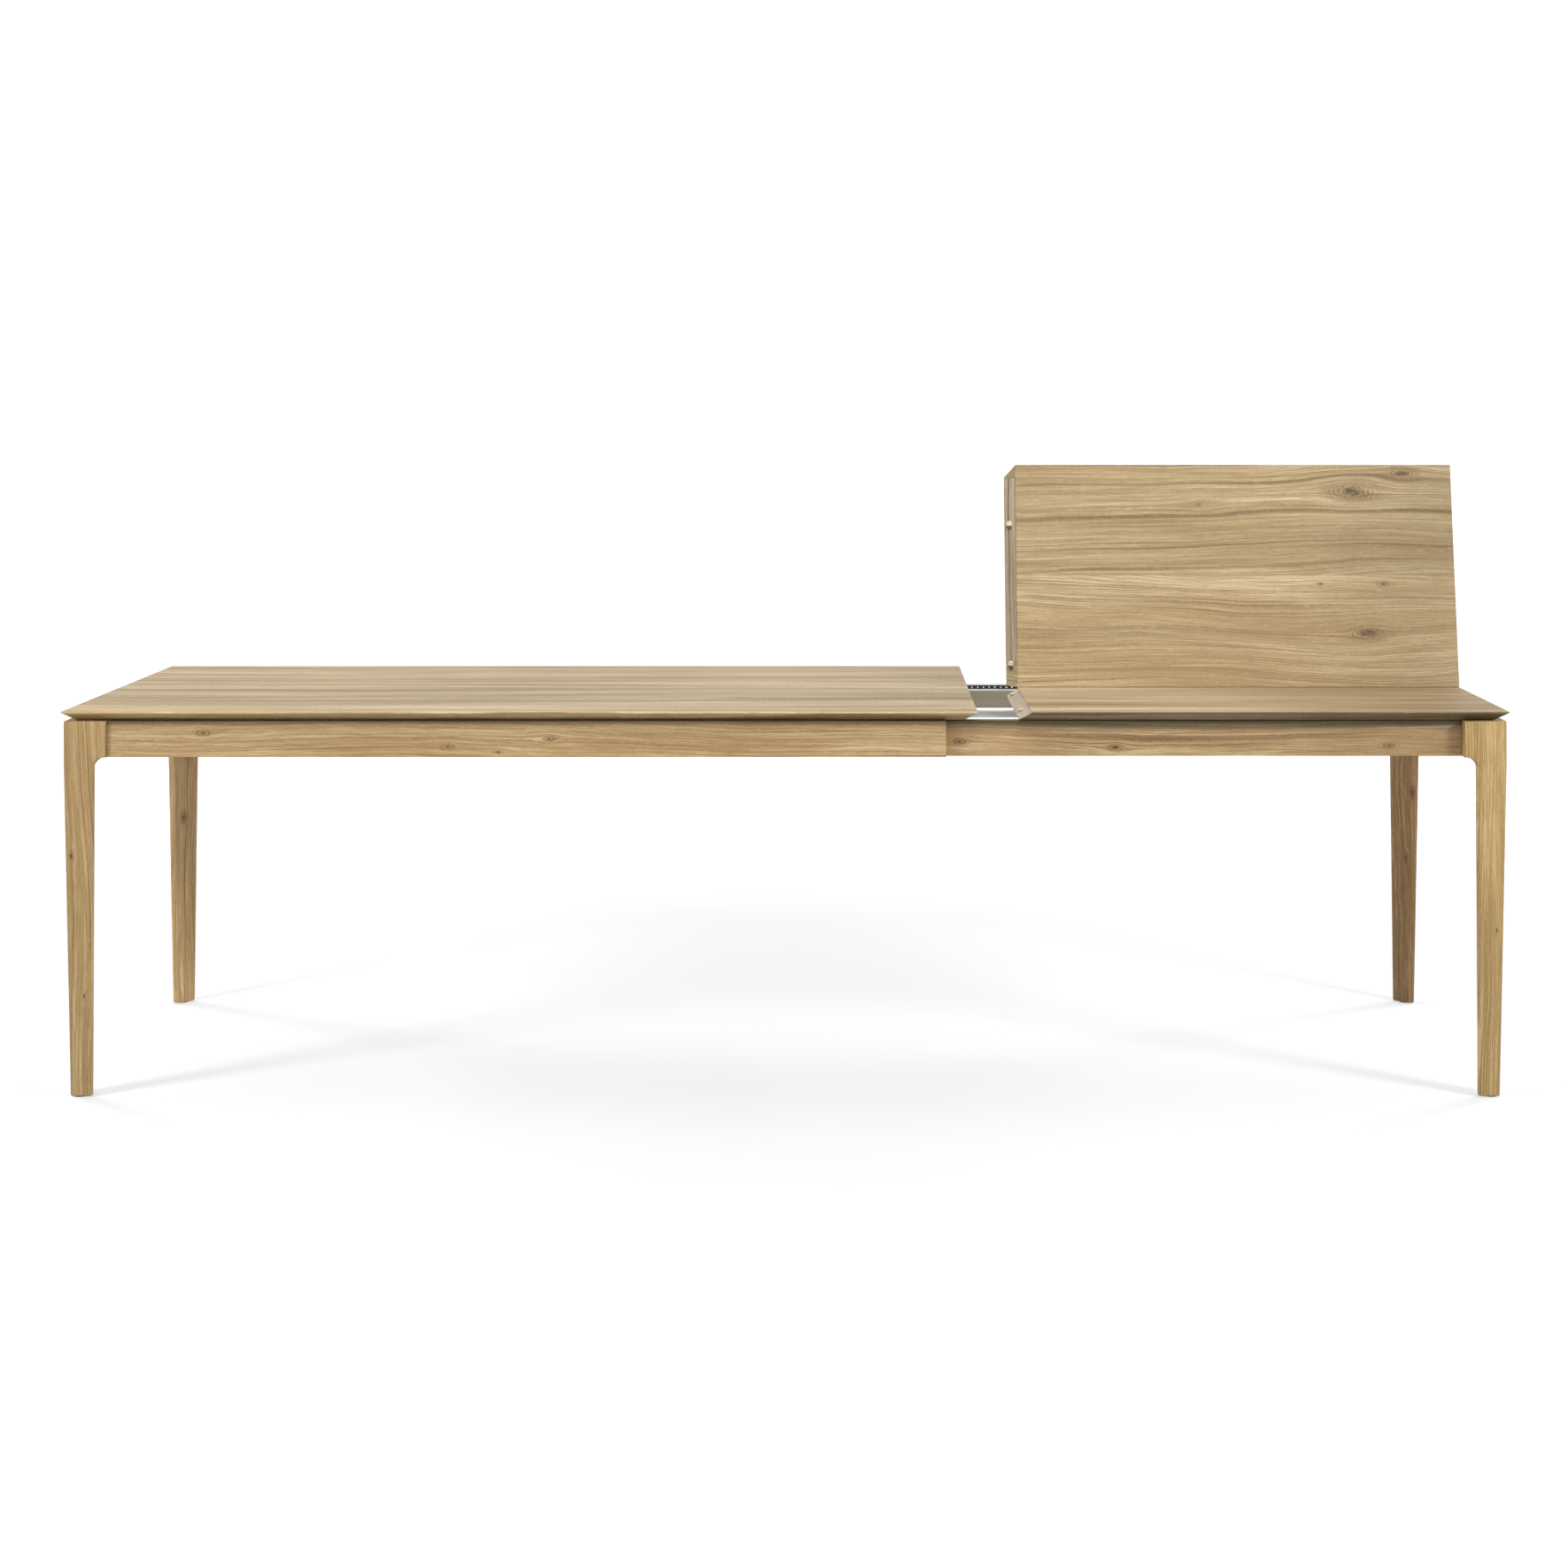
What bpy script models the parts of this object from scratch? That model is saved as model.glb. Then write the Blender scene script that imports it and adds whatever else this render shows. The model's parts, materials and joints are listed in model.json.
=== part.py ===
"""Extendable oak dining table with a folding butterfly leaf.

Metres, +Z up, +X along the table, the front edge towards -Y.  The main top stays on the
left frame; the right frame slides out on telescopic ball slides and carries the leaf,
whose rear half is hinged on the lengthwise centre line and is shown raised.
"""
import math

import bmesh
import bpy
from mathutils import Matrix, Vector

# ---------------------------------------------------------------- driving dimensions
TABLE_HEIGHT = 0.760
TOP_WIDTH = 0.960
MAIN_LENGTH = 1.800
LEAF_LENGTH = 0.938
OPEN_GAP = 0.106          # gap between main top and leaf with the frame pulled right out
TOP_THICK = 0.018
EDGE_LAND = 0.0025        # upright part of the top's edge
BEVEL_RUN = 0.024         # how far the under-bevel runs in from the edge
LEAN_DEG = 12.0           # raised half leans this far back from upright
SHADOW_GAP = 0.0015       # top's underside down to the frame

LEG_BLOCK = 0.084         # square head of a leg, as deep as the aprons
LEG_NECK = 0.060          # leg just under the fillet
LEG_FILLET = 0.018        # height over which the neck opens out into the head
LEG_FOOT = 0.0425
LEG_FLAT = 0.015          # what the chamfered inner corner leaves of the inner sides
LEG_EASE = 0.004          # rounding at both edges of that chamfer
HEAD_CUT = 0.003          # the same corner up in the head
FOOT_INSET = 0.0148
HEAD_INSET = 0.0035
APRON_RECESS = 0.008       # aprons stand back from the faces of the leg heads
LEG_ROUND = 0.008
GLIDE_THICK = 0.002
GLIDE_RADIUS = 0.0125

APRON_HEIGHT = 0.071
APRON_THICK = 0.0185
INNER_APRON_THICK = 0.018
APRON_SHORT = 0.0615      # outer aprons stop this far inside the main top's end
INNER_OVERLAP = 0.280     # inner aprons reach this far under the main top
REAR_DROP = 0.018         # the rear inner apron is this much lower at its top

BATTEN_WIDTH = 0.050
BATTEN_THICK = 0.020
BATTEN_STEP = 0.190
RUNNER_WIDTH = 0.018       # lengthwise runner under the main top, half-lapped over the battens
RUNNER_THICK = 0.018
CARRIER_WIDTH = 0.045
CARRIER_THICK = 0.019

RAIL_WALL = 0.0016
RAIL_FLANGE = 0.0031      # upper and lower flange of the middle member
RAIL_TONGUE = 0.0032
RAIL_FOOT = 0.012         # screw flange of the fixed member
CAGE_WALL = 0.0012
CAGE_RIM = 0.0011         # strip of the cage above and below its balls
BALL_HIDDEN = 0.0022      # radius
BALL_SHOWN = 0.0025       # radius
BALL_PITCH = 0.0127
BALLS_SHOWN = 26
BALLS_HIDDEN = 10

BRACKET_WALL = 0.0025
BRACKET_HEIGHT = 0.035
BRACKET_FLANGE = 0.030
BRACKET_STAND = 0.010     # how far the diagonal stands off the leg, along one side
BOLT_RADIUS = 0.004
BOLT_IN_LEG = 0.045
NUT_RADIUS = 0.0075
NUT_THICK = 0.0065

BARREL_RADIUS = 0.006
BARREL_DEPTH = 0.018
TONGUE_WIDTH = 0.018
TONGUE_THICK = 0.0045
TONGUE_OUT = 0.007
TONGUE_NEAR = 0.048       # tongue centres, measured from the seam
TONGUE_FAR = 0.350
LIP_START = 0.058         # cross-grain lipping starts this far from the seam
LIP_STOP = 0.028          # and stops this far short of the outer edge

FIT = 0.0003              # gap between pieces that touch
SLIDE_FIT = 0.0005        # gap between the sliding aprons
CLOSE_FIT = 0.0008        # gap left between leaf and main top when pushed shut
CAGE_FIT = 0.0008         # gap between a cage and the flanges it runs between

# ---------------------------------------------------------------- derived positions
X_LEFT = -(MAIN_LENGTH + OPEN_GAP + LEAF_LENGTH) / 2
X_MAIN = X_LEFT + MAIN_LENGTH
X_LEAF = X_MAIN + OPEN_GAP
X_RIGHT = X_LEAF + LEAF_LENGTH
Y_EDGE = TOP_WIDTH / 2
Z_UNDER = TABLE_HEIGHT - TOP_THICK
Z_LAND = TABLE_HEIGHT - EDGE_LAND
Z_FRAME = Z_UNDER - SHADOW_GAP
Z_APRON = Z_FRAME - APRON_HEIGHT
Z_HINGE = TABLE_HEIGHT + FIT
HEAD_IN = HEAD_INSET + LEG_BLOCK
APRON_FACE = HEAD_INSET + APRON_RECESS
APRON_IN = APRON_FACE + APRON_THICK
INNER_OUT = APRON_IN + SLIDE_FIT
INNER_IN = INNER_OUT + INNER_APRON_THICK
BEVEL_DROP = Z_LAND - Z_UNDER
BRACKET_SPAN = 2 * HEAD_IN + BRACKET_STAND

# slide section, measured from its outer side towards the centre line
T_FIXED_TIP = RAIL_WALL + 0.0024
T_CAGE_A = T_FIXED_TIP + FIT + BALL_HIDDEN
T_WEB = T_CAGE_A + BALL_HIDDEN + FIT
T_CAGE_B = T_WEB + RAIL_WALL + FIT + BALL_SHOWN
T_MOVE_TIP = T_CAGE_B + BALL_SHOWN + FIT
T_MOVE_WEB = T_MOVE_TIP + 0.0026
RAIL_WIDTH = T_MOVE_WEB + RAIL_WALL
RAIL_OUT = Y_EDGE / 2 + 0.020 + RAIL_WIDTH
RAIL_HEIGHT = 2 * (BALL_SHOWN + CAGE_RIM + CAGE_FIT + RAIL_FLANGE) + SLIDE_FIT
Z_RAIL_TOP = Z_UNDER - FIT
Z_RAIL_LOW = Z_RAIL_TOP - RAIL_HEIGHT
Z_MID_TOP = Z_RAIL_TOP - SLIDE_FIT
Z_RAIL_MID = (Z_MID_TOP + Z_RAIL_LOW) / 2


# ---------------------------------------------------------------- helpers
def clear_scene():
    for obj in list(bpy.data.objects):
        bpy.data.objects.remove(obj, do_unlink=True)


def material(name, colour, roughness, metallic=0.0):
    mat = bpy.data.materials.new(name)
    mat.use_nodes = True
    shader = mat.node_tree.nodes["Principled BSDF"]
    shader.inputs["Base Color"].default_value = (*colour, 1.0)
    shader.inputs["Roughness"].default_value = roughness
    shader.inputs["Metallic"].default_value = metallic
    return mat


def add_object(name, bm, mat, origin=(0, 0, 0), cutter=False):
    """Turn a bmesh given in table coordinates into an object with its own origin."""
    bmesh.ops.recalc_face_normals(bm, faces=bm.faces[:])
    bmesh.ops.translate(bm, verts=bm.verts[:], vec=-Vector(origin))
    mesh = bpy.data.meshes.new(name)
    bm.to_mesh(mesh)
    bm.free()
    if mat is not None:
        mesh.materials.append(mat)
    obj = bpy.data.objects.new(name, mesh)
    obj.location = origin
    bpy.context.scene.collection.objects.link(obj)
    if cutter:
        obj.hide_render = True
        obj.display_type = "WIRE"
    return obj


def loft(rings):
    """Skin a stack of equal-length point rings and cap both ends."""
    bm = bmesh.new()
    rows = [[bm.verts.new(p) for p in ring] for ring in rings]
    count = len(rows[0])
    for low, high in zip(rows, rows[1:]):
        for i in range(count):
            j = (i + 1) % count
            bm.faces.new((low[i], low[j], high[j], high[i]))
    bm.faces.new(rows[0])
    bm.faces.new(rows[-1])
    return bm


def block(lo, hi):
    corners = [(lo[0], lo[1]), (hi[0], lo[1]), (hi[0], hi[1]), (lo[0], hi[1])]
    return loft([[(x, y, z) for x, y in corners] for z in (lo[2], hi[2])])


def centre(lo, hi):
    return tuple((a + b) / 2 for a, b in zip(lo, hi))


def soften(obj, width, segments=1):
    bevel = obj.modifiers.new("soften", "BEVEL")
    bevel.width = width
    bevel.segments = segments
    bevel.limit_method = "ANGLE"
    bevel.angle_limit = math.radians(40)
    bevel.use_clamp_overlap = True
    return obj


def boolean(obj, cutter, operation="DIFFERENCE"):
    mod = obj.modifiers.new(operation.lower(), "BOOLEAN")
    mod.operation = operation
    mod.solver = "EXACT"
    mod.object = cutter
    return obj


def box_piece(name, lo, hi, mat, edge=0.0, segments=1):
    obj = add_object(name, block(lo, hi), mat, centre(lo, hi))
    return soften(obj, edge, segments) if edge else obj


def box_cutter(name, lo, hi):
    return add_object(name, block(lo, hi), None, centre(lo, hi), cutter=True)


def rod(start, direction, length, radius, sides):
    """Straight prism with `sides` sides about a line."""
    bm = bmesh.new()
    bmesh.ops.create_cone(bm, cap_ends=True, segments=sides, radius1=radius,
                          radius2=radius, depth=length)
    aim = Vector(direction).normalized()
    middle = Vector(start) + aim * (length / 2)
    turn = Vector((0, 0, 1)).rotation_difference(aim).to_matrix().to_4x4()
    bm.transform(Matrix.Translation(middle) @ turn)
    return bm


def smooth(obj):
    for poly in obj.data.polygons:
        poly.use_smooth = True
    obj.data.set_sharp_from_angle(angle=math.radians(35))


# ---------------------------------------------------------------- materials
OAK = (0.42, 0.28, 0.15)
SIDES = {"front": -1, "back": 1}
ENDS = {"left": -1, "right": 1}


def oak(name, shade=1.0):
    return material(name, tuple(c * shade for c in OAK), 0.52)


def aluminium(name):
    return material(name, (0.80, 0.80, 0.79), 0.32, 1.0)


# ---------------------------------------------------------------- tops
def top_rings(x0, x1, y0, y1, run_x0, run_x1, run_y0, run_y1):
    """Top face, foot of the edge land, underside; a negative run slopes outwards."""
    def rect(a, b, c, d, z):
        return [(a, c, z), (b, c, z), (b, d, z), (a, d, z)]
    low = rect(x0 + run_x0, x1 - run_x1, y0 + run_y0, y1 - run_y1, Z_UNDER)
    return [low, rect(x0, x1, y0, y1, Z_LAND), rect(x0, x1, y0, y1, TABLE_HEIGHT)]


def build_main_top():
    rings = top_rings(X_LEFT, X_MAIN, -Y_EDGE, Y_EDGE, *[BEVEL_RUN] * 4)
    middle = ((X_LEFT + X_MAIN) / 2, 0, Z_UNDER)
    top = add_object("main_top", loft(rings), oak("oak_main_top"), middle)
    soften(top, 0.0006)
    tip = X_MAIN + CLOSE_FIT - tongue_reach()
    for i, y in enumerate((-TONGUE_FAR, -TONGUE_NEAR, TONGUE_NEAR, TONGUE_FAR)):
        half = TONGUE_WIDTH / 2 + 0.0008
        z = tongue_height()
        lo = (tip - 0.001, y - half, z - TONGUE_THICK / 2 - 0.0006)
        hi = (X_MAIN + 0.010, y + half, z + TONGUE_THICK / 2 + 0.0006)
        boolean(top, box_cutter(f"cut_socket_{i}", lo, hi))
    return top


def tongue_height():
    return Z_UNDER + 0.0075


def tongue_reach():
    """How far a tongue's tip lies beyond the leaf's upper arris."""
    return BEVEL_RUN * (Z_LAND - tongue_height()) / BEVEL_DROP + TONGUE_OUT


def build_leaf_half(side, parent):
    """One half of the leaf, drawn flat: panel, end lipping, tongues, hinge barrels."""
    sign = SIDES[side]
    seam, edge = sign * FIT, sign * Y_EDGE
    pieces = []
    run = (-BEVEL_RUN, BEVEL_RUN)
    if sign > 0:
        rings = top_rings(X_LEAF, X_RIGHT, seam, edge, *run, 0.0, BEVEL_RUN)
    else:
        rings = top_rings(X_LEAF, X_RIGHT, edge, seam, *run, BEVEL_RUN, 0.0)
    origin = ((X_LEAF + X_RIGHT) / 2, 0, Z_HINGE)
    panel = add_object(f"leaf_{side}_panel", loft(rings), oak(f"oak_leaf_{side}"), origin)
    soften(panel, 0.0006)
    pieces.append(panel)

    y_a, y_b = sorted((sign * LIP_START, sign * (Y_EDGE - LIP_STOP)))
    lo = (X_LEAF - BEVEL_RUN - 0.01, y_a - FIT, Z_UNDER - 0.01)
    hi = (X_LEAF, y_b + FIT, TABLE_HEIGHT + 0.01)
    boolean(panel, box_cutter(f"cut_lip_{side}", lo, hi))

    foot = X_LEAF - BEVEL_RUN
    slope = BEVEL_RUN / BEVEL_DROP
    inner = X_LEAF - FIT
    section = [(inner, Z_UNDER), (foot, Z_UNDER), (foot + 0.0006 * slope, Z_UNDER + 0.0006),
               (inner, Z_LAND - FIT / slope)]
    rings = [[(x, y, z) for x, z in section] for y in (y_a, y_b)]
    lip = add_object(f"leaf_{side}_lipping", loft(rings), oak(f"oak_lipping_{side}", 0.9),
                     (X_LEAF, 0, Z_HINGE))
    pieces.append(lip)

    for label, distance, host in (("near", TONGUE_NEAR, panel), ("far", TONGUE_FAR, lip)):
        y, z = sign * distance, tongue_height()
        x0, x1 = X_LEAF - tongue_reach(), X_LEAF - 0.003
        half, nose = TONGUE_WIDTH / 2, 0.0035
        outline = [(x1, y - half), (x1, y + half), (x0 + nose, y + half),
                   (x0, y + half - nose), (x0, y - half + nose), (x0 + nose, y - half)]
        rings = [[(px, py, z + dz) for px, py in outline]
                 for dz in (-TONGUE_THICK / 2, TONGUE_THICK / 2)]
        pieces.append(add_object(f"tongue_{side}_{label}", loft(rings),
                                 material(f"beech_{side}_{label}", (0.62, 0.52, 0.38), 0.5),
                                 (x1, y, z)))
        lo = (x0 - 0.01, y - half - FIT, z - TONGUE_THICK / 2 - FIT)
        hi = (x1 + FIT, y + half + FIT, z + TONGUE_THICK / 2 + FIT)
        boolean(host, box_cutter(f"cut_tongue_{side}_{label}", lo, hi))
        pieces.append(host.modifiers[-1].object)

    if sign > 0:
        # relief that lets the raised half stand over the closed main top
        deep = 0.32 * TOP_THICK
        wedge = [(seam - 0.001, TABLE_HEIGHT - 0.0008), (seam, TABLE_HEIGHT - 0.0008),
                 (seam + deep, Z_UNDER - 0.001), (seam - 0.001, Z_UNDER - 0.001)]
        rings = [[(x, y, z) for y, z in wedge] for x in (foot - 0.01, X_LEAF - FIT)]
        cutter = add_object("cut_relief", loft(rings), None, (X_LEAF, 0, Z_HINGE), cutter=True)
        boolean(panel, cutter)
        pieces.append(cutter)
    pieces.append(panel.modifiers["difference"].object)

    for i, share in enumerate((0.14, 0.50, 0.86)):
        x = X_LEAF + share * LEAF_LENGTH
        z = (TABLE_HEIGHT + Z_UNDER) / 2
        start = (x, sign * 2 * FIT, z)
        aim = (0, sign, 0)
        barrel = add_object(f"hinge_barrel_{side}_{i + 1}",
                            rod(start, aim, BARREL_DEPTH, BARREL_RADIUS, 16),
                            material(f"brass_{side}_{i + 1}", (0.72, 0.55, 0.28), 0.3, 1.0),
                            start)
        smooth(barrel)
        pieces.append(barrel)
        hole = rod((x, -sign * 0.005, z), aim, BARREL_DEPTH + 0.005 + 3 * FIT,
                   BARREL_RADIUS + FIT, 16)
        cutter = add_object(f"cut_barrel_{side}_{i + 1}", hole, None, start, cutter=True)
        boolean(panel, cutter)
        pieces.append(cutter)

    if parent is not None:
        offset = parent.location.copy()
        for piece in pieces:
            piece.parent = parent
            piece.location = piece.location - offset
    return pieces


# ---------------------------------------------------------------- legs and frame
def corner(end, side):
    """Map (in from the end, in from the edge) to table x, y for one corner."""
    tip_x = X_LEFT if end == "left" else X_RIGHT
    sx, sy = ENDS[end], SIDES[side]
    return lambda u, v: (tip_x - sx * u, sy * (Y_EDGE - v))


def leg_section(inset, width, side_round, ease, cut):
    """Outline in corner coordinates: a square whose inner corner is cut off at 45 degrees."""
    a, b = inset, inset + width
    run = cut + ease * math.tan(math.pi / 8)
    arcs = ((a + LEG_ROUND, a + LEG_ROUND, LEG_ROUND, 180, 90),
            (b - side_round, a + side_round, side_round, 270, 90),
            (b - ease, b - run, ease, 0, 45), (b - run, b - ease, ease, 45, 45),
            (a + side_round, b - side_round, side_round, 90, 90))
    points = []
    for cx, cy, radius, start, sweep in arcs:
        steps = sweep // 22
        for k in range(steps + 1):
            angle = math.radians(start + sweep * k / steps)
            points.append((cx + radius * math.cos(angle), cy + radius * math.sin(angle)))
    return points


def build_leg(end, side):
    place = corner(end, side)
    flare = LEG_BLOCK - LEG_NECK
    z_neck = Z_APRON - LEG_FILLET
    z_foot = GLIDE_THICK + FIT

    def inset(z):
        return HEAD_INSET + (FOOT_INSET - HEAD_INSET) * max(0.0, 1 - z / z_neck)

    rings = []
    for z in (z_foot, z_neck * 0.5):
        width = LEG_FOOT + (LEG_NECK - LEG_FOOT) * z / z_neck
        rings.append((z, inset(z), width, LEG_ROUND, LEG_EASE, width - LEG_FLAT))
    steps = 7
    for k in range(steps + 1):
        angle = math.pi / 2 * k / steps
        fade = math.cos(angle)
        rings.append((z_neck + LEG_FILLET * math.sin(angle), HEAD_INSET,
                      LEG_NECK + flare * (1 - fade), 0.0008 + (LEG_ROUND - 0.0008) * fade,
                      0.002 + (LEG_EASE - 0.002) * fade,
                      HEAD_CUT + (LEG_NECK - LEG_FLAT - HEAD_CUT) * fade))
    rings.append((Z_FRAME, HEAD_INSET, LEG_BLOCK, 0.0008, 0.002, HEAD_CUT))

    skins = []
    for z, *section in rings:
        skins.append([(*place(u, v), z) for u, v in leg_section(*section)])
    # centre of the largest circle that fits the foot
    mid = FOOT_INSET + (LEG_FOOT + LEG_FLAT) / (2 + math.sqrt(2))
    leg = add_object(f"leg_{side}_{end}", loft(skins), oak(f"oak_leg_{side}_{end}"),
                     (*place(mid, mid), 0))
    smooth(leg)

    z = Z_APRON + APRON_HEIGHT / 2
    heart = HEAD_IN - BOLT_IN_LEG / math.sqrt(2)
    start = Vector((*place(heart, heart), z))
    aim = Vector((*place(1, 1), z)) - Vector((*place(0, 0), z))
    hole = rod(start - aim.normalized() * 0.001, aim, BOLT_IN_LEG + 0.02, BOLT_RADIUS + FIT, 12)
    boolean(leg, add_object(f"cut_bolt_{side}_{end}", hole, None, start, cutter=True))

    glide = add_object(f"glide_{side}_{end}",
                       rod((*place(mid, mid), 0), (0, 0, 1), GLIDE_THICK, GLIDE_RADIUS, 24),
                       material(f"nylon_{side}_{end}", (0.06, 0.055, 0.05), 0.6),
                       (*place(mid, mid), 0))
    smooth(glide)
    return leg


def offset_path(points, distance):
    """Mitred copy of an open polyline, shifted sideways."""
    shifted = []
    for a, b in zip(points, points[1:]):
        along = (b - a).normalized()
        normal = Vector((-along.y, along.x)) * distance
        shifted.append((a + normal, b + normal))
    result = [shifted[0][0]]
    for (a, b), (c, d) in zip(shifted, shifted[1:]):
        r, s = b - a, d - c
        share = (c - a).cross(s) / r.cross(s)
        result.append(a + r * share)
    return result + [shifted[-1][1]]


def build_corner_bracket(end, side):
    """Pressed steel plate across the corner, with the leg's bolt and nut."""
    place = corner(end, side)
    u_in = APRON_IN
    v_in = APRON_IN if end == "left" else INNER_IN
    gap = FIT + BRACKET_WALL / 2
    path = [Vector((BRACKET_SPAN - v_in + BRACKET_FLANGE, v_in + gap)),
            Vector((BRACKET_SPAN - v_in, v_in + gap)),
            Vector((u_in + gap, BRACKET_SPAN - u_in)),
            Vector((u_in + gap, BRACKET_SPAN - u_in + BRACKET_FLANGE))]
    outline = offset_path(path, BRACKET_WALL / 2)
    outline += reversed(offset_path(path, -BRACKET_WALL / 2))
    z = Z_APRON + APRON_HEIGHT / 2
    rings = [[(*place(p.x, p.y), z + dz) for p in outline]
             for dz in (-BRACKET_HEIGHT / 2, BRACKET_HEIGHT / 2)]
    half = (path[1] + path[2]) / 2
    # the plate's diagonal crosses the leg's own diagonal here
    plate = (half.x + half.y) / 2
    seat = (*place(plate, plate), z)
    bracket = add_object(f"corner_bracket_{side}_{end}", loft(rings),
                         material(f"zinc_{side}_{end}", (0.62, 0.62, 0.60), 0.4, 1.0), seat)

    aim = Vector((*place(1, 1), z)) - Vector((*place(0, 0), z))
    unit = aim.normalized()
    hole = rod(Vector(seat) - unit * 0.01, aim, 0.02, BOLT_RADIUS + FIT, 12)
    boolean(bracket, add_object(f"cut_plate_{side}_{end}", hole, None, seat, cutter=True))

    heart = HEAD_IN - BOLT_IN_LEG / math.sqrt(2)
    start = Vector((*place(heart, heart), z))
    face = Vector(seat) + unit * (BRACKET_WALL / 2 + FIT)
    length = (face - start).length + NUT_THICK + 0.007
    steel = material(f"bolt_steel_{side}_{end}", (0.55, 0.54, 0.52), 0.35, 1.0)
    bolt = add_object(f"leg_bolt_{side}_{end}", rod(start, aim, length, BOLT_RADIUS, 12),
                      steel, start)
    nut = rod(face, aim, NUT_THICK, NUT_RADIUS, 6)
    boolean(bolt, add_object(f"join_nut_{side}_{end}", nut, None, face, cutter=True), "UNION")


def build_aprons():
    head = HEAD_IN + FIT
    for side, sign in SIDES.items():
        ys = sorted((sign * (Y_EDGE - APRON_FACE), sign * (Y_EDGE - APRON_IN)))
        box_piece(f"apron_{side}_outer", (X_LEFT + head, ys[0], Z_APRON),
                  (X_MAIN - APRON_SHORT, ys[1], Z_FRAME), oak(f"oak_apron_{side}_outer"),
                  0.0012, 2)
        ys = sorted((sign * (Y_EDGE - INNER_OUT), sign * (Y_EDGE - INNER_IN)))
        top = Z_FRAME - (REAR_DROP if side == "back" else 0)
        box_piece(f"apron_{side}_inner", (X_MAIN - INNER_OVERLAP, ys[0], Z_APRON),
                  (X_RIGHT - head, ys[1], top), oak(f"oak_apron_{side}_inner"), 0.0012, 2)
    reach = Y_EDGE - head
    box_piece("apron_end_left", (X_LEFT + APRON_FACE, -reach, Z_APRON),
              (X_LEFT + APRON_IN, reach, Z_FRAME), oak("oak_apron_end_left"), 0.0012, 2)
    box_piece("apron_end_right", (X_RIGHT - APRON_IN, -reach, Z_APRON),
              (X_RIGHT - APRON_FACE, reach, Z_FRAME), oak("oak_apron_end_right"), 0.0012, 2)


def batten_place(index):
    """Centre of a top batten; the first one stands clear of the corner brackets."""
    first = X_LEFT + BRACKET_SPAN - APRON_IN + BRACKET_FLANGE + 0.022 + BATTEN_WIDTH / 2
    return first + index * BATTEN_STEP


def build_cross_members():
    reach = Y_EDGE - APRON_IN - FIT
    top, half = Z_UNDER - FIT, BATTEN_WIDTH / 2
    lap = top - RUNNER_THICK / 2
    # the runners close the shadow gap from just inside the path of the sliding aprons
    outer = Y_EDGE - INNER_IN - SLIDE_FIT
    inner = outer - RUNNER_WIDTH
    places = {label: batten_place(i) for i, label in enumerate(("left", "right"))}
    for side, sign in SIDES.items():
        y0, y1 = sorted((sign * inner, sign * outer))
        runner = box_piece(f"top_batten_{side}", (X_LEFT + HEAD_IN + 0.002, y0, top - RUNNER_THICK),
                           (X_MAIN - BEVEL_RUN - 0.006, y1, top), oak(f"oak_runner_{side}", 0.85),
                           0.001)
        for label, x in places.items():
            boolean(runner, box_cutter(f"cut_runner_{side}_{label}",
                                       (x - half - FIT, y0 - 0.01, top - RUNNER_THICK - 0.01),
                                       (x + half + FIT, y1 + 0.01, lap)))
    for label, x in places.items():
        batten = box_piece(f"top_batten_{label}", (x - half, -reach, top - BATTEN_THICK),
                           (x + half, reach, top), oak(f"oak_batten_{label}", 0.85), 0.001)
        for side, sign in SIDES.items():
            y0, y1 = sorted((sign * (inner - FIT), sign * (outer + FIT)))
            boolean(batten, box_cutter(f"cut_batten_{label}_{side}",
                                       (x - half - 0.01, y0, lap - FIT), (x + half + 0.01, y1, top + 0.01)))
    reach = Y_EDGE - INNER_IN - FIT
    first = X_LEAF + 0.085
    bracket = BRACKET_SPAN - INNER_IN + BRACKET_FLANGE
    last = X_RIGHT - bracket - 0.048 - CARRIER_WIDTH / 2
    for i, label in enumerate(("left", "middle", "right")):
        x = first + (last - first) * i / 2
        box_piece(f"leaf_carrier_{label}",
                  (x - CARRIER_WIDTH / 2, -reach, Z_APRON + 0.002),
                  (x + CARRIER_WIDTH / 2, reach, Z_APRON + 0.002 + CARRIER_THICK),
                  oak(f"oak_carrier_{label}", 0.85), 0.001)


# ---------------------------------------------------------------- slides
def rail_piece(name, side, section, x0, x1, mat):
    """Extrude a slide section (in from the outer side, height) along the table."""
    sign = SIDES[side]
    rings = [[(x, sign * (RAIL_OUT - t), z) for t, z in section] for x in (x0, x1)]
    origin = ((x0 + x1) / 2, sign * (RAIL_OUT - RAIL_WIDTH / 2), Z_RAIL_MID)
    return add_object(name, loft(rings), mat, origin)


def build_cage(name, side, t, radius, x0, count, pitch, mat):
    height = 2 * (radius + CAGE_RIM)
    z0, z1 = Z_RAIL_MID - height / 2, Z_RAIL_MID + height / 2
    strip = [(t - CAGE_WALL / 2, z0), (t + CAGE_WALL / 2, z0), (t + CAGE_WALL / 2, z1),
             (t - CAGE_WALL / 2, z1)]
    cage = rail_piece(name, side, strip, x0, x0 + count * pitch, mat)
    y = SIDES[side] * (RAIL_OUT - t)
    bm = bmesh.new()
    for k in range(count):
        spot = Matrix.Translation((x0 + (k + 0.5) * pitch, y, Z_RAIL_MID))
        bmesh.ops.create_uvsphere(bm, u_segments=8, v_segments=4, radius=radius, matrix=spot)
    balls = add_object(f"join_balls_{name}", bm, None, cage.location, cutter=True)
    return boolean(cage, balls, "UNION")


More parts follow.
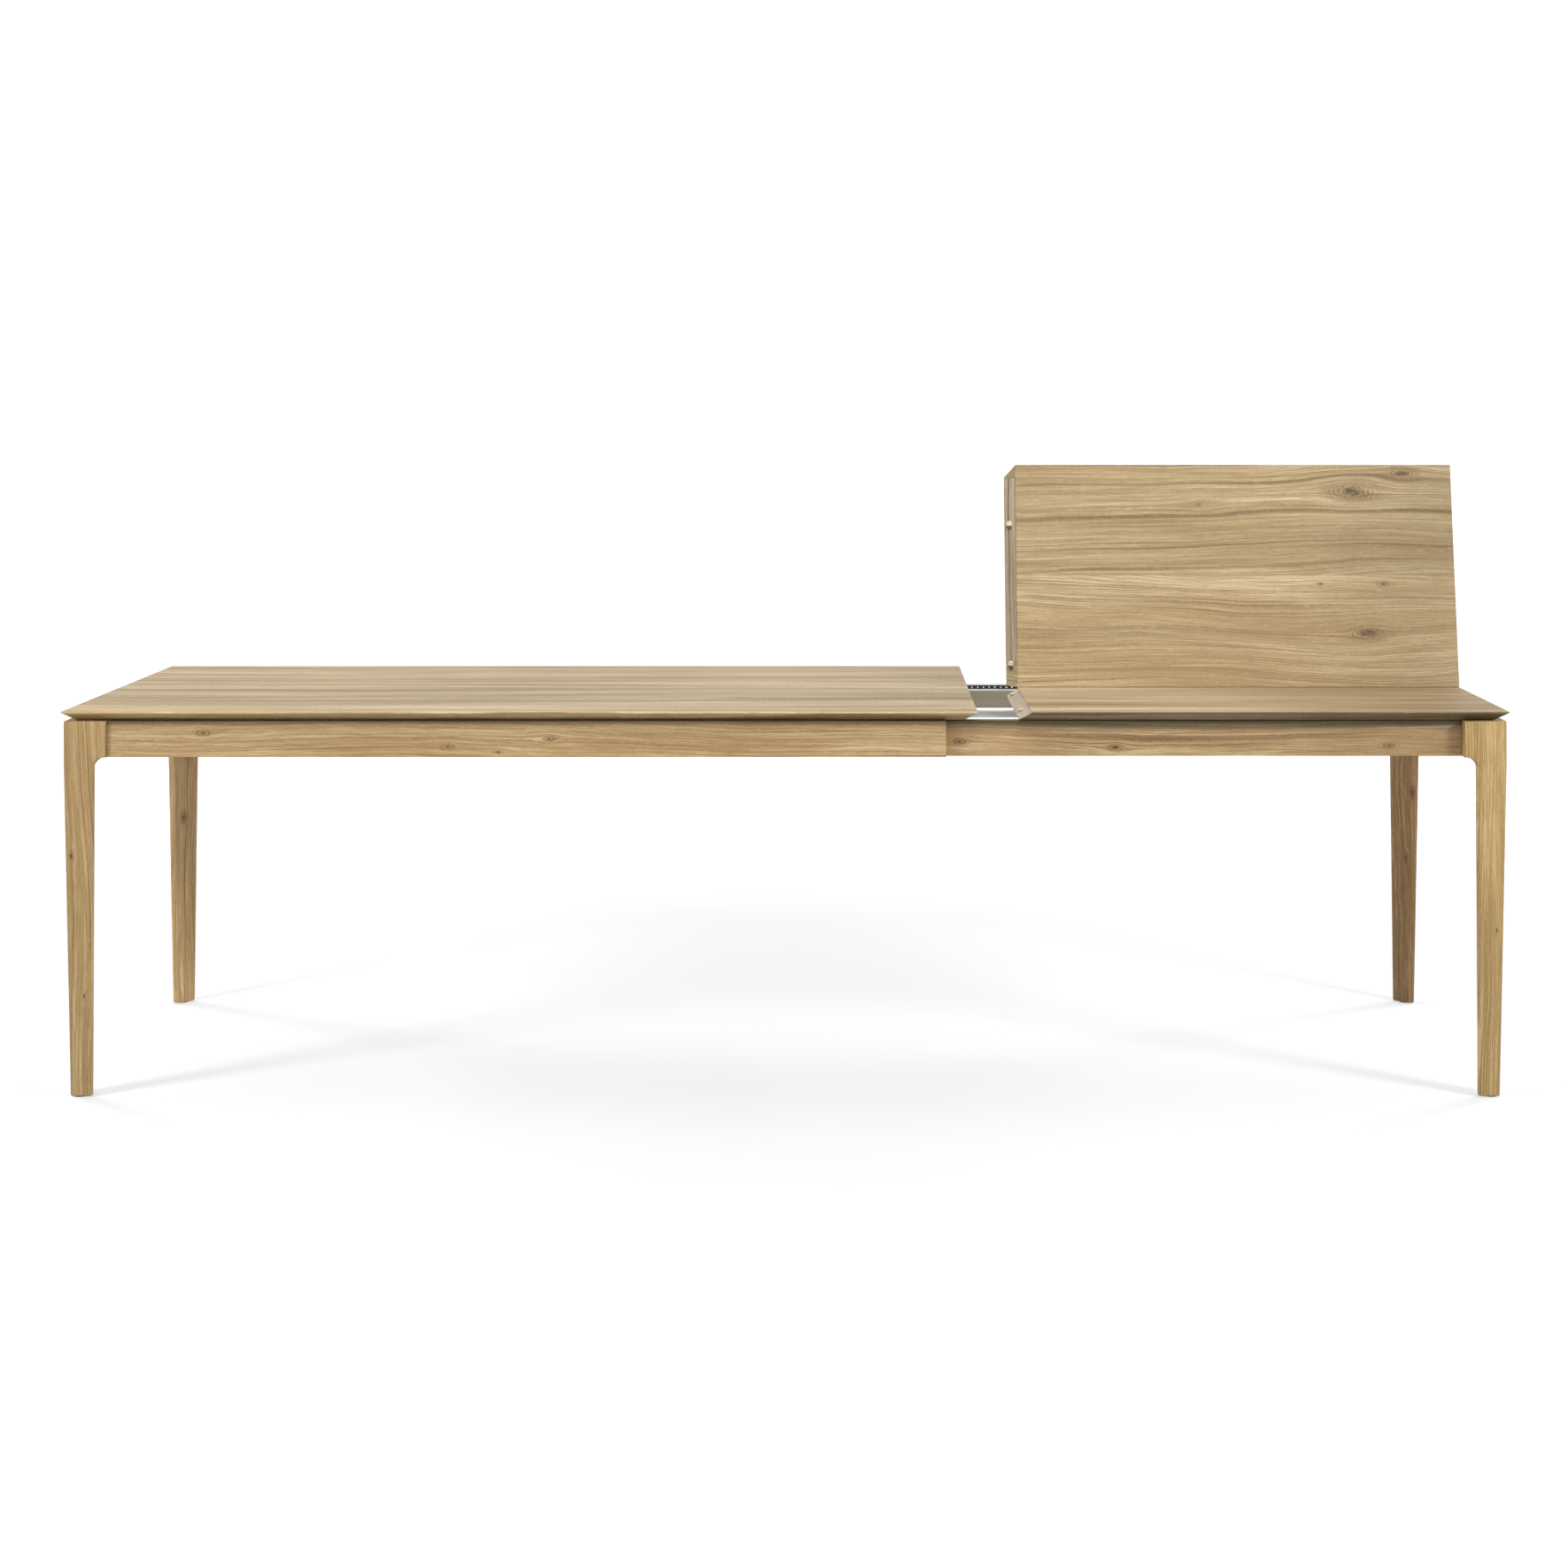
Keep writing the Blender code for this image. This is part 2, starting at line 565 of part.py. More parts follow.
def build_slides():
    zt, zb, zm = Z_RAIL_TOP, Z_RAIL_LOW, Z_RAIL_MID
    half, wall = RAIL_TONGUE / 2, RAIL_WALL
    fixed = [(0, zb), (wall, zb), (wall, zm - half), (T_FIXED_TIP, zm - half),
             (T_FIXED_TIP, zm + half), (wall, zm + half), (wall, zt), (-RAIL_FOOT, zt),
             (-RAIL_FOOT, zt - wall), (0, zt - wall)]
    low, high = zb + RAIL_FLANGE, Z_MID_TOP - RAIL_FLANGE
    out, inn = wall + 0.001, T_MOVE_WEB - 0.001
    middle = [(out, zb), (inn, zb), (inn, low), (T_WEB + wall, low), (T_WEB + wall, high),
              (inn, high), (inn, Z_MID_TOP), (out, Z_MID_TOP), (out, high), (T_WEB, high),
              (T_WEB, low), (out, low)]
    moving = [(T_MOVE_WEB, zb), (RAIL_WIDTH, zb), (RAIL_WIDTH, zt), (T_MOVE_WEB, zt),
              (T_MOVE_WEB, zm + half), (T_MOVE_TIP, zm + half), (T_MOVE_TIP, zm - half),
              (T_MOVE_WEB, zm - half)]
    end = X_RIGHT - APRON_IN - FIT
    for side, sign in SIDES.items():
        rail_piece(f"slide_fixed_{side}", side, fixed,
                   batten_place(1) + BATTEN_WIDTH / 2 + 0.025, X_MAIN - BEVEL_RUN - 0.010,
                   aluminium(f"alu_fixed_{side}"))
        rail_piece(f"slide_middle_{side}", side, middle, X_MAIN - 0.720, X_MAIN + 0.420,
                   aluminium(f"alu_middle_{side}"))
        rail_piece(f"slide_moving_{side}", side, moving, X_LEAF + 0.075,
                   end - BRACKET_WALL - FIT, aluminium(f"alu_moving_{side}"))
        black = material(f"cage_outer_{side}_black", (0.02, 0.02, 0.02), 0.4)
        build_cage(f"ball_cage_outer_{side}", side, T_CAGE_A, BALL_HIDDEN, X_MAIN - 0.560,
                   BALLS_HIDDEN, 3 * BALL_PITCH, black)
        black = material(f"cage_inner_{side}_black", (0.02, 0.02, 0.02), 0.4)
        build_cage(f"ball_cage_inner_{side}", side, T_CAGE_B, BALL_SHOWN, X_MAIN - 0.050,
                   BALLS_SHOWN, BALL_PITCH, black)
        shelf = zb - FIT
        angle = [(end - 0.032, shelf), (end - BRACKET_WALL, shelf),
                 (end - BRACKET_WALL, zt), (end, zt), (end, shelf - BRACKET_WALL),
                 (end - 0.032, shelf - BRACKET_WALL)]
        ys = sorted((sign * RAIL_OUT, sign * (RAIL_OUT - RAIL_WIDTH)))
        rings = [[(x, y, z) for x, z in angle] for y in ys]
        add_object(f"rail_bracket_{side}", loft(rings),
                   material(f"zinc_rail_{side}", (0.62, 0.62, 0.60), 0.4, 1.0),
                   (end, sign * (RAIL_OUT - RAIL_WIDTH / 2), shelf))


# ---------------------------------------------------------------- assembly
def main():
    clear_scene()
    build_main_top()
    build_aprons()
    build_cross_members()
    for end in ENDS:
        for side in SIDES:
            build_leg(end, side)
            build_corner_bracket(end, side)
    build_slides()
    build_leaf_half("front", None)

    axis = bpy.data.objects.new("leaf_back_axis", None)
    axis.location = ((X_LEAF + X_RIGHT) / 2, 0, Z_HINGE)
    bpy.context.scene.collection.objects.link(axis)
    build_leaf_half("back", axis)
    axis.rotation_euler = (math.radians(90 - LEAN_DEG), 0, 0)


main()
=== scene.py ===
import json
import math

import bmesh
import bpy
from mathutils import Matrix, Vector


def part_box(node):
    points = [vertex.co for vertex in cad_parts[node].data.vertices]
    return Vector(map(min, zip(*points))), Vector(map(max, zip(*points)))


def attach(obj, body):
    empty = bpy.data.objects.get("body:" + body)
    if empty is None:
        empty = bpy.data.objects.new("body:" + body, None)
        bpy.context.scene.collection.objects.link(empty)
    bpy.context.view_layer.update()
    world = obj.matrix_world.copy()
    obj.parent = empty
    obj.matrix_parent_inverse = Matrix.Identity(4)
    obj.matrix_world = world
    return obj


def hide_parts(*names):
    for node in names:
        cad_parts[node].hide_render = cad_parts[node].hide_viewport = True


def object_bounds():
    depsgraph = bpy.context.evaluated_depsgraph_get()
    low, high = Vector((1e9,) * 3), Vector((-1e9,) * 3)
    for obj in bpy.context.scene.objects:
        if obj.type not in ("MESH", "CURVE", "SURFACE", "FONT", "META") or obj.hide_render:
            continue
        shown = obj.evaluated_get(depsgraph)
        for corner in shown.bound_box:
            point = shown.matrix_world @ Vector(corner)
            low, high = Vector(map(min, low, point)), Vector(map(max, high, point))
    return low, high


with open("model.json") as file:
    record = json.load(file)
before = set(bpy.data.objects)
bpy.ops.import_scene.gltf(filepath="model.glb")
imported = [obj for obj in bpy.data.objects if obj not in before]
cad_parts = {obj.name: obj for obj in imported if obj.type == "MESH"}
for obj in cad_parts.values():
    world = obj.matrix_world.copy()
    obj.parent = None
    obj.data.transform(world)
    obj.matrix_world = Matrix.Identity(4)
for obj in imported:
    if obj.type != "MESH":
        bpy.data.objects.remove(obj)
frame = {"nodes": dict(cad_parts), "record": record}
cad_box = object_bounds()
nodes = frame["nodes"]
lo_all, hi_all = cad_box
HINGE = Vector(next(j for j in frame["record"]["behaviour"]["joints"]
                    if j["name"] == "leaf_hinge")["pos_m"])
LEAN = math.radians(78)   # how far the rear half of the leaf is raised

# ---------------------------------------------------------------- node helpers


class Graph:
    """Small wrapper that keeps a node tree readable."""

    def __init__(self, name):
        self.mat = bpy.data.materials.new(name)
        self.mat.use_nodes = True
        self.tree = self.mat.node_tree
        self.tree.nodes.clear()
        output = self.tree.nodes.new("ShaderNodeOutputMaterial")
        self.shader = self.tree.nodes.new("ShaderNodeBsdfPrincipled")
        self.tree.links.new(self.shader.outputs[0], output.inputs[0])

    def plug(self, value, socket):
        if isinstance(value, bpy.types.NodeSocket):
            self.tree.links.new(value, socket)
        else:
            socket.default_value = value

    def math(self, op, *values):
        node = self.tree.nodes.new("ShaderNodeMath")
        node.operation = op
        for value, socket in zip(values, node.inputs):
            self.plug(value, socket)
        return node.outputs[0]

    def add(self, a, b):
        return self.math("ADD", a, b)

    def mul(self, a, b):
        return self.math("MULTIPLY", a, b)

    def object_point(self):
        return self.tree.nodes.new("ShaderNodeTexCoord").outputs["Object"]

    def split(self, vector):
        node = self.tree.nodes.new("ShaderNodeSeparateXYZ")
        self.plug(vector, node.inputs[0])
        return node.outputs

    def join(self, x, y, z):
        node = self.tree.nodes.new("ShaderNodeCombineXYZ")
        for value, socket in zip((x, y, z), node.inputs):
            self.plug(value, socket)
        return node.outputs[0]

    def mapping(self, vector, location, rotation):
        node = self.tree.nodes.new("ShaderNodeMapping")
        self.plug(vector, node.inputs["Vector"])
        node.inputs["Location"].default_value = location
        node.inputs["Rotation"].default_value = rotation
        return node.outputs[0]

    def noise(self, vector, scale=1.0, detail=2.0, rough=0.5):
        node = self.tree.nodes.new("ShaderNodeTexNoise")
        self.plug(vector, node.inputs["Vector"])
        node.inputs["Scale"].default_value = scale
        node.inputs["Detail"].default_value = detail
        node.inputs["Roughness"].default_value = rough
        return node.outputs["Fac"]

    def noise_1d(self, value):
        node = self.tree.nodes.new("ShaderNodeTexNoise")
        node.noise_dimensions = "1D"
        self.plug(value, node.inputs["W"])
        node.inputs["Scale"].default_value = 1.0
        return node.outputs["Fac"]

    def white(self, value):
        node = self.tree.nodes.new("ShaderNodeTexWhiteNoise")
        node.noise_dimensions = "1D"
        self.plug(value, node.inputs["W"])
        return node.outputs["Value"]

    def fit(self, value, a, b, c=0.0, d=1.0, smooth=True):
        """Carry the range a to b onto c to d."""
        node = self.tree.nodes.new("ShaderNodeMapRange")
        node.interpolation_type = "SMOOTHSTEP" if smooth else "LINEAR"
        self.plug(value, node.inputs["Value"])
        for key, number in zip(("From Min", "From Max", "To Min", "To Max"), (a, b, c, d)):
            node.inputs[key].default_value = number
        return node.outputs["Result"]

    def mix(self, fac, a, b, blend="MIX"):
        node = self.tree.nodes.new("ShaderNodeMix")
        node.data_type = "RGBA"
        node.blend_type = blend
        self.plug(fac, node.inputs["Factor"])
        for value, socket in ((a, node.inputs[6]), (b, node.inputs[7])):
            self.plug((*value, 1.0) if isinstance(value, tuple) else value, socket)
        return node.outputs[2]

    def bump(self, height, strength, distance):
        node = self.tree.nodes.new("ShaderNodeBump")
        self.plug(height, node.inputs["Height"])
        node.inputs["Strength"].default_value = strength
        node.inputs["Distance"].default_value = distance
        self.tree.links.new(node.outputs[0], self.shader.inputs["Normal"])

    def set(self, **sockets):
        for key, value in sockets.items():
            self.plug(value, self.shader.inputs[key.replace("_", " ")])
        return self.mat


def srgb(r, g, b):
    """Colour written as 8-bit sRGB, returned linear."""
    def one(c):
        c /= 255
        return c / 12.92 if c <= 0.04045 else ((c + 0.055) / 1.055) ** 2.4
    return one(r), one(g), one(b)


# ---------------------------------------------------------------- oak

TONE = (0.56, 0.52, 0.47)  # the room is bright, so the timber's own colours are held down
PALE = srgb(214, 195, 160)
MID = srgb(191, 168, 126)
DEEP = srgb(147, 120, 80)
LINE = srgb(98, 74, 43)
ROSE = srgb(214, 190, 158)
KNOT = srgb(74, 54, 36)
INNER_SHADE = (0.185, 0.182, 0.146)   # painted shade: the aprons' inner faces, darker and greyer, linear
KNOT_SQUEEZE = 0.40           # a knot is drawn out along the grain by one over this
KNOT_RINGS = 6.283 / 0.0040   # one ring about a knot every 4 mm
AXES = {"top": "xyz", "rail": "xzy", "leg": "zxy", "end": "yzx", "lip": "yxz"}


def oak(name, kind, seed, board=0.0, shift=0.0, knots=(), tilt=0.0, tone=(1.0, 1.0, 1.0),
        fine=1.0, wave=1.0, rough=0.55, inside=0, underside_light=1.0, figure=1.0, lines=1.0,
        painted_light=()):
    """Oiled solid oak.

    u runs with the grain, v across the widest face and w through it.  Growth lines follow
    q, the across-grain distance bent by slow noise and by the knots, each (u, v, size)
    with an optional darkness.  `inside` is the sign of y on the face darkened and greyed
    with painted shade, or 0; the factor for the faces that look down multiplies their
    colour as painted light and shade; `figure` and `lines` are the strengths of the broad
    streaks and of the ring lines; each painted light entry (axis, start, end, factor)
    multiplies the colour where that coordinate runs from start to end.
    The numbers that multiply u, v, w and q inside the noises are cells per metre.
    """
    g = Graph(name)
    point = g.object_point()
    if tilt:
        turn = Matrix.Rotation(-tilt, 3, "X")
        point = g.mapping(point, tuple(HINGE - turn @ HINGE), (-tilt, 0, 0))
    axis = dict(zip("xyz", g.split(point)))
    place_at = dict(zip("xyz", g.split(g.object_point())))
    u, v, w = (axis[letter] for letter in AXES[kind])

    # boards glued edge to edge, each with its own luck
    if board:
        place = g.mul(g.add(v, shift), 1 / board)
        index = g.math("FLOOR", place)
        luck = g.white(g.add(index, seed + 0.37))
        tone_luck = g.white(g.add(index, seed + 11.7))
        joint = g.fit(g.math("ABSOLUTE", g.add(g.math("FRACT", place), -0.5)), 0.4955, 0.4995)
    else:
        luck = 0.5

    # knots push the grain aside and carry their own rings
    core, rings, halo, bent = 0.0, 0.0, 0.0, v
    for ku, kv, size, *dark in knots:
        weight = dark[0] if dark else 1.0
        du = g.mul(g.add(u, -ku), KNOT_SQUEEZE)
        dv = g.add(v, -kv)
        r2 = g.add(g.mul(du, du), g.mul(dv, dv))
        push = g.math("DIVIDE", size * size * 2.2, g.add(r2, size * size * 1.7))
        bent = g.math("SUBTRACT", bent, g.mul(dv, push))
        wobble = g.noise(g.join(g.mul(u, 26.0), g.mul(v, 60.0), seed), detail=3.0)
        edge = g.add(g.math("SQRT", r2), g.mul(g.add(wobble, -0.5), size * 1.1))
        core = g.math("MAXIMUM", core, g.fit(edge, size * 0.75, size * 0.15, 0.0, weight))
        halo = g.math("MAXIMUM", halo, g.fit(edge, size * 2.2, size * 0.5, 0.0, weight))
        wave_out = g.fit(g.math("SINE", g.mul(edge, KNOT_RINGS)), 0.1, 0.95)
        rings = g.add(rings, g.mul(wave_out, g.fit(edge, size * 1.8, size * 0.7, 0.0, weight)))

    # slow wander of the grain
    far = g.noise(g.join(g.mul(u, 1.0), g.mul(v, 3.0), g.add(g.mul(luck, 9.0), seed)), detail=1.5)
    near = g.noise(g.join(g.mul(u, 4.5), g.mul(v, 13.0), seed * 1.7), detail=2.0)
    q = g.add(bent, g.mul(g.add(far, -0.5), 0.085 * wave))
    q = g.add(q, g.mul(g.add(near, -0.5), 0.011 * wave))
    q = g.add(g.add(q, g.mul(w, 0.45)), g.add(g.mul(luck, 0.7), seed * 0.13))

    # a thin porous line closes each ring; rings are uneven and fade in and out
    count = g.add(g.mul(q, 104.0 * fine), g.mul(g.noise_1d(g.mul(q, 21.0 * fine)), 6.0))
    saw = g.math("FRACT", count)
    line = g.mul(g.fit(saw, 0.55, 0.93), g.fit(saw, 1.0, 0.95))
    ring_luck = g.noise(g.join(g.mul(u, 1.6), g.mul(g.math("FLOOR", count), 0.61), seed), detail=2.0)
    line = g.mul(line, g.fit(ring_luck, 0.38, 0.66, 0.08, 1.0))
    band = g.noise(g.join(g.mul(u, 0.7), g.mul(q, 42.0 * fine), seed), detail=3.0, rough=0.6)
    blush = g.noise(g.join(g.mul(u, 1.3), g.mul(q, 24.0 * fine), seed + 4.0), detail=1.0)

    # fibres and pores, drawn out along the grain
    streak = g.noise(g.join(g.mul(u, 5.0), g.mul(q, 330.0), g.mul(w, 80.0)), detail=3.0, rough=0.6)
    fibre = g.noise(g.join(g.mul(u, 22.0), g.mul(q, 1100.0), g.mul(w, 500.0)), detail=2.0,
                    rough=0.6)
    pores = g.noise(g.join(g.mul(u, 75.0), g.mul(q, 1700.0), g.mul(w, 900.0)), detail=1.0)
    pores = g.fit(pores, 0.56, 0.68)
    fleck = g.noise(g.join(g.mul(u, 60.0), g.mul(v, 240.0), g.mul(w, 240.0)), detail=1.0)
    fleck = g.fit(fleck, 0.62, 0.74)
    cloud = g.noise(g.join(g.mul(u, 2.2), g.mul(v, 8.0), g.add(g.mul(w, 8.0), seed)), detail=3.0)

    colour = g.mix(g.fit(band, 0.30, 0.66), PALE, MID)
    colour = g.mix(g.mul(g.fit(blush, 0.56, 0.72), 0.55), colour, ROSE)
    colour = g.mix(g.mul(g.fit(cloud, 0.42, 0.70), 0.50), colour, DEEP)
    if board:
        broad = g.noise(g.join(g.mul(u, 0.9), g.mul(q, 15.0), seed + 8.0), detail=2.0)
        colour = g.mix(g.mul(g.fit(broad, 0.43, 0.62), 0.9 * figure), colour, DEEP)
        light = g.noise(g.join(g.mul(u, 0.7), g.mul(q, 19.0), seed + 15.0), detail=1.0)
        colour = g.mix(g.mul(g.fit(light, 0.55, 0.72), 0.8 * figure), colour, PALE)
        scar = g.noise(g.join(g.mul(u, 1.1), g.mul(q, 46.0), seed + 21.0), detail=1.0)
        colour = g.mix(g.mul(g.fit(scar, 0.54, 0.68), 0.75 * figure), colour, LINE)
    colour = g.mix(g.mul(g.fit(streak, 0.36, 0.64), 0.72), colour, DEEP)
    colour = g.mix(g.mul(line, 0.92 * lines), colour, LINE)
    colour = g.mix(g.mul(g.fit(fibre, 0.40, 0.66), 0.62), colour, DEEP)
    colour = g.mix(g.mul(pores, g.add(g.mul(line, 0.45), 0.32)), colour, LINE)
    colour = g.mix(g.mul(fleck, 0.16), colour, PALE)
    if knots:
        speck = g.fit(g.noise(g.join(g.mul(u, 150.0), g.mul(v, 330.0), seed), detail=2.0), 0.40, 0.60)
        colour = g.mix(g.mul(halo, 0.55), colour, DEEP)
        colour = g.mix(g.math("MINIMUM", g.mul(rings, 0.75), 0.8), colour, LINE)
        colour = g.mix(g.mul(core, g.add(g.mul(speck, 0.50), 0.46)), colour, KNOT)
    if board:
        level = g.fit(tone_luck, 0.0, 1.0, 0.84, 1.10, smooth=False)
        colour = g.mix(1.0, colour, g.join(level, level, g.mul(level, 0.985)), "MULTIPLY")
        colour = g.mix(g.mul(joint, 0.30), colour, LINE)
    colour = g.mix(1.0, colour, tuple(a * b for a, b in zip(TONE, tone)), "MULTIPLY")
    # painted light and shade: each entry multiplies the colour along one coordinate
    for letter, start, end, factor in painted_light:
        amount = g.fit(place_at[letter], start, end)
        factor = factor if isinstance(factor, tuple) else (factor,) * 3
        colour = g.mix(amount, colour, g.mix(1.0, colour, factor, "MULTIPLY"))
    if inside:
        # painted shade: the inner face is darkened and greyed
        normal = g.tree.nodes.new("ShaderNodeTexCoord").outputs["Normal"]
        facing = g.fit(g.mul(g.split(normal)[1], inside), 0.5, 0.8)
        shaded_inside = g.mix(0.75, colour, INNER_SHADE)
        colour = g.mix(facing, colour, shaded_inside)
    # painted light and shade: the faces that look down are multiplied by their own factor
    if underside_light != 1.0:
        normal = g.tree.nodes.new("ShaderNodeTexCoord").outputs["Normal"]
        down = g.fit(g.split(normal)[2], -0.2, -0.6)
        colour = g.mix(down, colour, g.mix(1.0, colour, (underside_light,) * 3, "MULTIPLY"))

    roughness = g.add(g.mul(pores, 0.14), g.add(g.mul(line, 0.08), rough))
    height = g.math("SUBTRACT", g.mul(fibre, 0.3), g.add(g.mul(pores, 0.6), g.mul(line, 0.4)))
    g.bump(height, 0.30, 0.00025)
    g.set(Base_Color=colour, Roughness=roughness)
    g.shader.inputs["Specular IOR Level"].default_value = 0.35
    return g.mat


# ---------------------------------------------------------------- metals and plastics


def aluminium(name):
    tint = (0.86, 0.86, 0.85)
    g = Graph(name)
    x, y, z = g.split(g.object_point())
    brushed = g.noise(g.join(g.mul(x, 6.0), g.mul(y, 900.0), g.mul(z, 900.0)), detail=3.0)
    grime = g.noise(g.join(g.mul(x, 14.0), g.mul(y, 60.0), g.mul(z, 60.0)), detail=3.0)
    dark = tuple(c * 0.72 for c in tint)
    colour = g.mix(g.fit(grime, 0.45, 0.75), tint, dark)
    g.bump(brushed, 0.12, 0.0001)
    return g.set(Base_Color=colour, Metallic=0.75,
                 Roughness=g.add(g.mul(brushed, 0.22), 0.24))


def plastic(name, colour, light, rough):
    g = Graph(name)
    point = g.object_point()
    grain = g.noise(point, scale=900.0, detail=2.0)
    dust = g.noise(point, scale=40.0, detail=4.0)
    g.bump(grain, 0.15, 0.0001)
    return g.set(Base_Color=g.mix(g.mul(g.fit(dust, 0.45, 0.75), 0.5), colour, light),
                 Roughness=g.add(g.mul(dust, 0.2), rough - 0.1))


def metal(name, colour, dark, rough, scale, strength=0.08):
    g = Graph(name)
    point = g.object_point()
    patch = g.tree.nodes.new("ShaderNodeTexVoronoi")
    g.plug(point, patch.inputs["Vector"])
    patch.inputs["Scale"].default_value = scale
    stain = g.noise(point, scale=scale * 0.6, detail=4.0)
    fine = g.noise(point, scale=2200.0, detail=2.0)
    mixed = g.mul(g.add(patch.outputs["Distance"], stain), 0.5)
    g.bump(fine, strength, 0.0001)
    return g.set(Base_Color=g.mix(g.fit(mixed, 0.25, 0.65), colour, dark), Metallic=1.0,
                 Roughness=g.add(g.mul(stain, 0.18), rough - 0.06))


# ---------------------------------------------------------------- mesh helpers


def mesh_piece(name, bm, mat, body, *replaced, smooth):
    """A finished piece on its body; edges sharper than `smooth` degrees stay sharp."""
    bmesh.ops.recalc_face_normals(bm, faces=bm.faces[:])
    mesh = bpy.data.meshes.new(name)
    bm.to_mesh(mesh)
    bm.free()
    mesh.materials.append(mat)
    obj = bpy.data.objects.new(name, mesh)
    bpy.context.scene.collection.objects.link(obj)
    mesh.shade_smooth()
    mesh.set_sharp_from_angle(angle=math.radians(smooth))
    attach(obj, body)
    if replaced:
        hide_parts(*replaced)


def loft(rings):
    """A closed skin over rings that have the same number of points."""
    bm = bmesh.new()
    rows = [[bm.verts.new(p) for p in ring] for ring in rings]
    count = len(rows[0])
    for low, high in zip(rows, rows[1:]):
        for i in range(count):
            j = (i + 1) % count
            bm.faces.new((low[i], low[j], high[j], high[i]))
    bm.faces.new(rows[0])
    bm.faces.new(rows[-1])
    return bm


# ---------------------------------------------------------------- legs

LEG_NECK = 0.060          # width just under the fillet
LEG_FILLET = 0.018
LEG_FOOT = 0.0425         # width on the floor
LEG_FLAT = 0.015          # what the inner cut leaves of each inner side
LEG_EASE = 0.004          # rounding at both ends of the inner cut
LEG_ROUND = 0.008         # rounding of the outer corner, and below the head of the side corners
HEAD_CUT = 0.003          # the inner cut on the square head
HEAD_SIDE = 0.0008        # the head's side corners are nearly sharp
HEAD_EASE = 0.002
HEAD_ARRIS = 0.001
FOOT_STEP = 0.0113        # the foot stands this much further in than the head
FOOT_TRIM = 0.0012        # arris around the foot
TAPER_STEPS = 12
FILLET_STEPS = 20


def leg_section(inset, width, outer, side, ease, cut):
    """Square outline in corner coordinates with its inner corner cut off at 45 degrees."""
    a, b = inset, inset + width
    run = cut + ease * math.tan(math.pi / 8)
    arcs = ((a + outer, a + outer, outer, 180, 90), (b - side, a + side, side, 270, 90),
            (b - ease, b - run, ease, 0, 45), (b - run, b - ease, ease, 45, 45),
            (a + side, b - side, side, 90, 90))
    points = []
    for cx, cy, radius, start, sweep in arcs:
        steps = sweep // 9
        for k in range(steps + 1):
            angle = math.radians(start + sweep * k / steps)
            points.append((cx + radius * math.cos(angle), cy + radius * math.sin(angle)))
    return points


def frame_body(node):
    for body, names in frame["record"]["behaviour"]["bodies"].items():
        if node in names:
            return body


def leg(side, end, seed, tone, knots, painted_light=()):
    """One tapered leg; its knots are (height, distance in from the outer side, size)."""
    node = f"leg_{side}_{end}"
    lo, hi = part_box(node)
    sx, sy = (1 if end == "left" else -1), (1 if side == "front" else -1)
    x0 = lo.x if end == "left" else hi.x
    y0 = lo.y if side == "front" else hi.y
    head = hi.x - lo.x
    z_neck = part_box("apron_front_outer")[0].z - LEG_FILLET
    rings = []
    for k in range(TAPER_STEPS):
        z = lo.z + (z_neck - lo.z) * k / TAPER_STEPS
        width = LEG_FOOT + (LEG_NECK - LEG_FOOT) * z / z_neck
        rings.append((z, FOOT_STEP * (1 - z / z_neck), width, LEG_ROUND, LEG_ROUND, LEG_EASE,
                      width - LEG_FLAT))
    foot = rings[0]
    trim = FOOT_TRIM
    rings[0:1] = [(lo.z, foot[1] + trim, foot[2] - 2 * trim, LEG_ROUND - trim, LEG_ROUND - trim,
                   LEG_EASE - trim, foot[6] - trim),
                  (lo.z + trim, *foot[1:])]
    for k in range(FILLET_STEPS + 1):
        angle = math.pi / 2 * k / FILLET_STEPS
        fade = math.cos(angle)
        rings.append((z_neck + LEG_FILLET * math.sin(angle), 0.0,
                      LEG_NECK + (head - LEG_NECK) * (1 - fade), LEG_ROUND,
                      HEAD_SIDE + (LEG_ROUND - HEAD_SIDE) * fade,
                      HEAD_EASE + (LEG_EASE - HEAD_EASE) * fade,
                      HEAD_CUT + (LEG_NECK - LEG_FLAT - HEAD_CUT) * fade))
    rings.append((hi.z - HEAD_ARRIS, 0.0, head, LEG_ROUND, HEAD_SIDE, HEAD_EASE, HEAD_CUT))
    rings.append((hi.z, HEAD_ARRIS, head - HEAD_ARRIS, LEG_ROUND, HEAD_SIDE, HEAD_EASE,
                  HEAD_CUT))
    skins = [[(x0 + sx * p, y0 + sy * q, z) for p, q in leg_section(*section)]
             for z, *section in rings]
    placed = [(z, x0 + sx * across, size) for z, across, size in knots]
    mat = oak(f"oak_{node}", "leg", seed, knots=placed, tone=tone, fine=1.7, wave=1.2,
              lines=0.80, painted_light=painted_light)
    mesh_piece(node + "_turned", loft(skins), mat, frame_body(node), node, smooth=40)


# painted light and shade on the legs: the front right leg is brighter and the back right leg darker
# than the front left; the back left leg is lighter towards its foot
LIT_LEG, PLAIN, SHADED_LEG = (1.42, 1.40, 1.17), (1.28, 1.25, 1.08), (0.84, 0.72, 0.57)
leg("front", "left", 3.1, PLAIN, [(0.475, 0.016, 0.0035), (0.20, 0.040, 0.003)])
leg("front", "right", 7.7, LIT_LEG, [(0.33, 0.020, 0.003)])
leg("back", "left", 12.4, (1.40, 1.37, 1.28), [(0.42, 0.034, 0.005), (0.57, 0.042, 0.006)],
    [("z", 0.45, 0.10, 1.4)])
leg("back", "right", 15.9, SHADED_LEG, [(0.48, 0.016, 0.005), (0.33, 0.030, 0.003)])

# ---------------------------------------------------------------- timber kept from the frame


def paint(node, mat):
    data = nodes[node].data
    data.materials.clear()
    data.materials.append(mat)


leaf_lo, leaf_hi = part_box("leaf_front_panel")
leaf_length = leaf_hi.x - leaf_lo.x


def on_leaf(along, down, size):
    """A knot on the raised half, as shares of its length and of its depth from the far edge."""
    return leaf_lo.x + along * leaf_length, hi_all.y * (1 - down), size
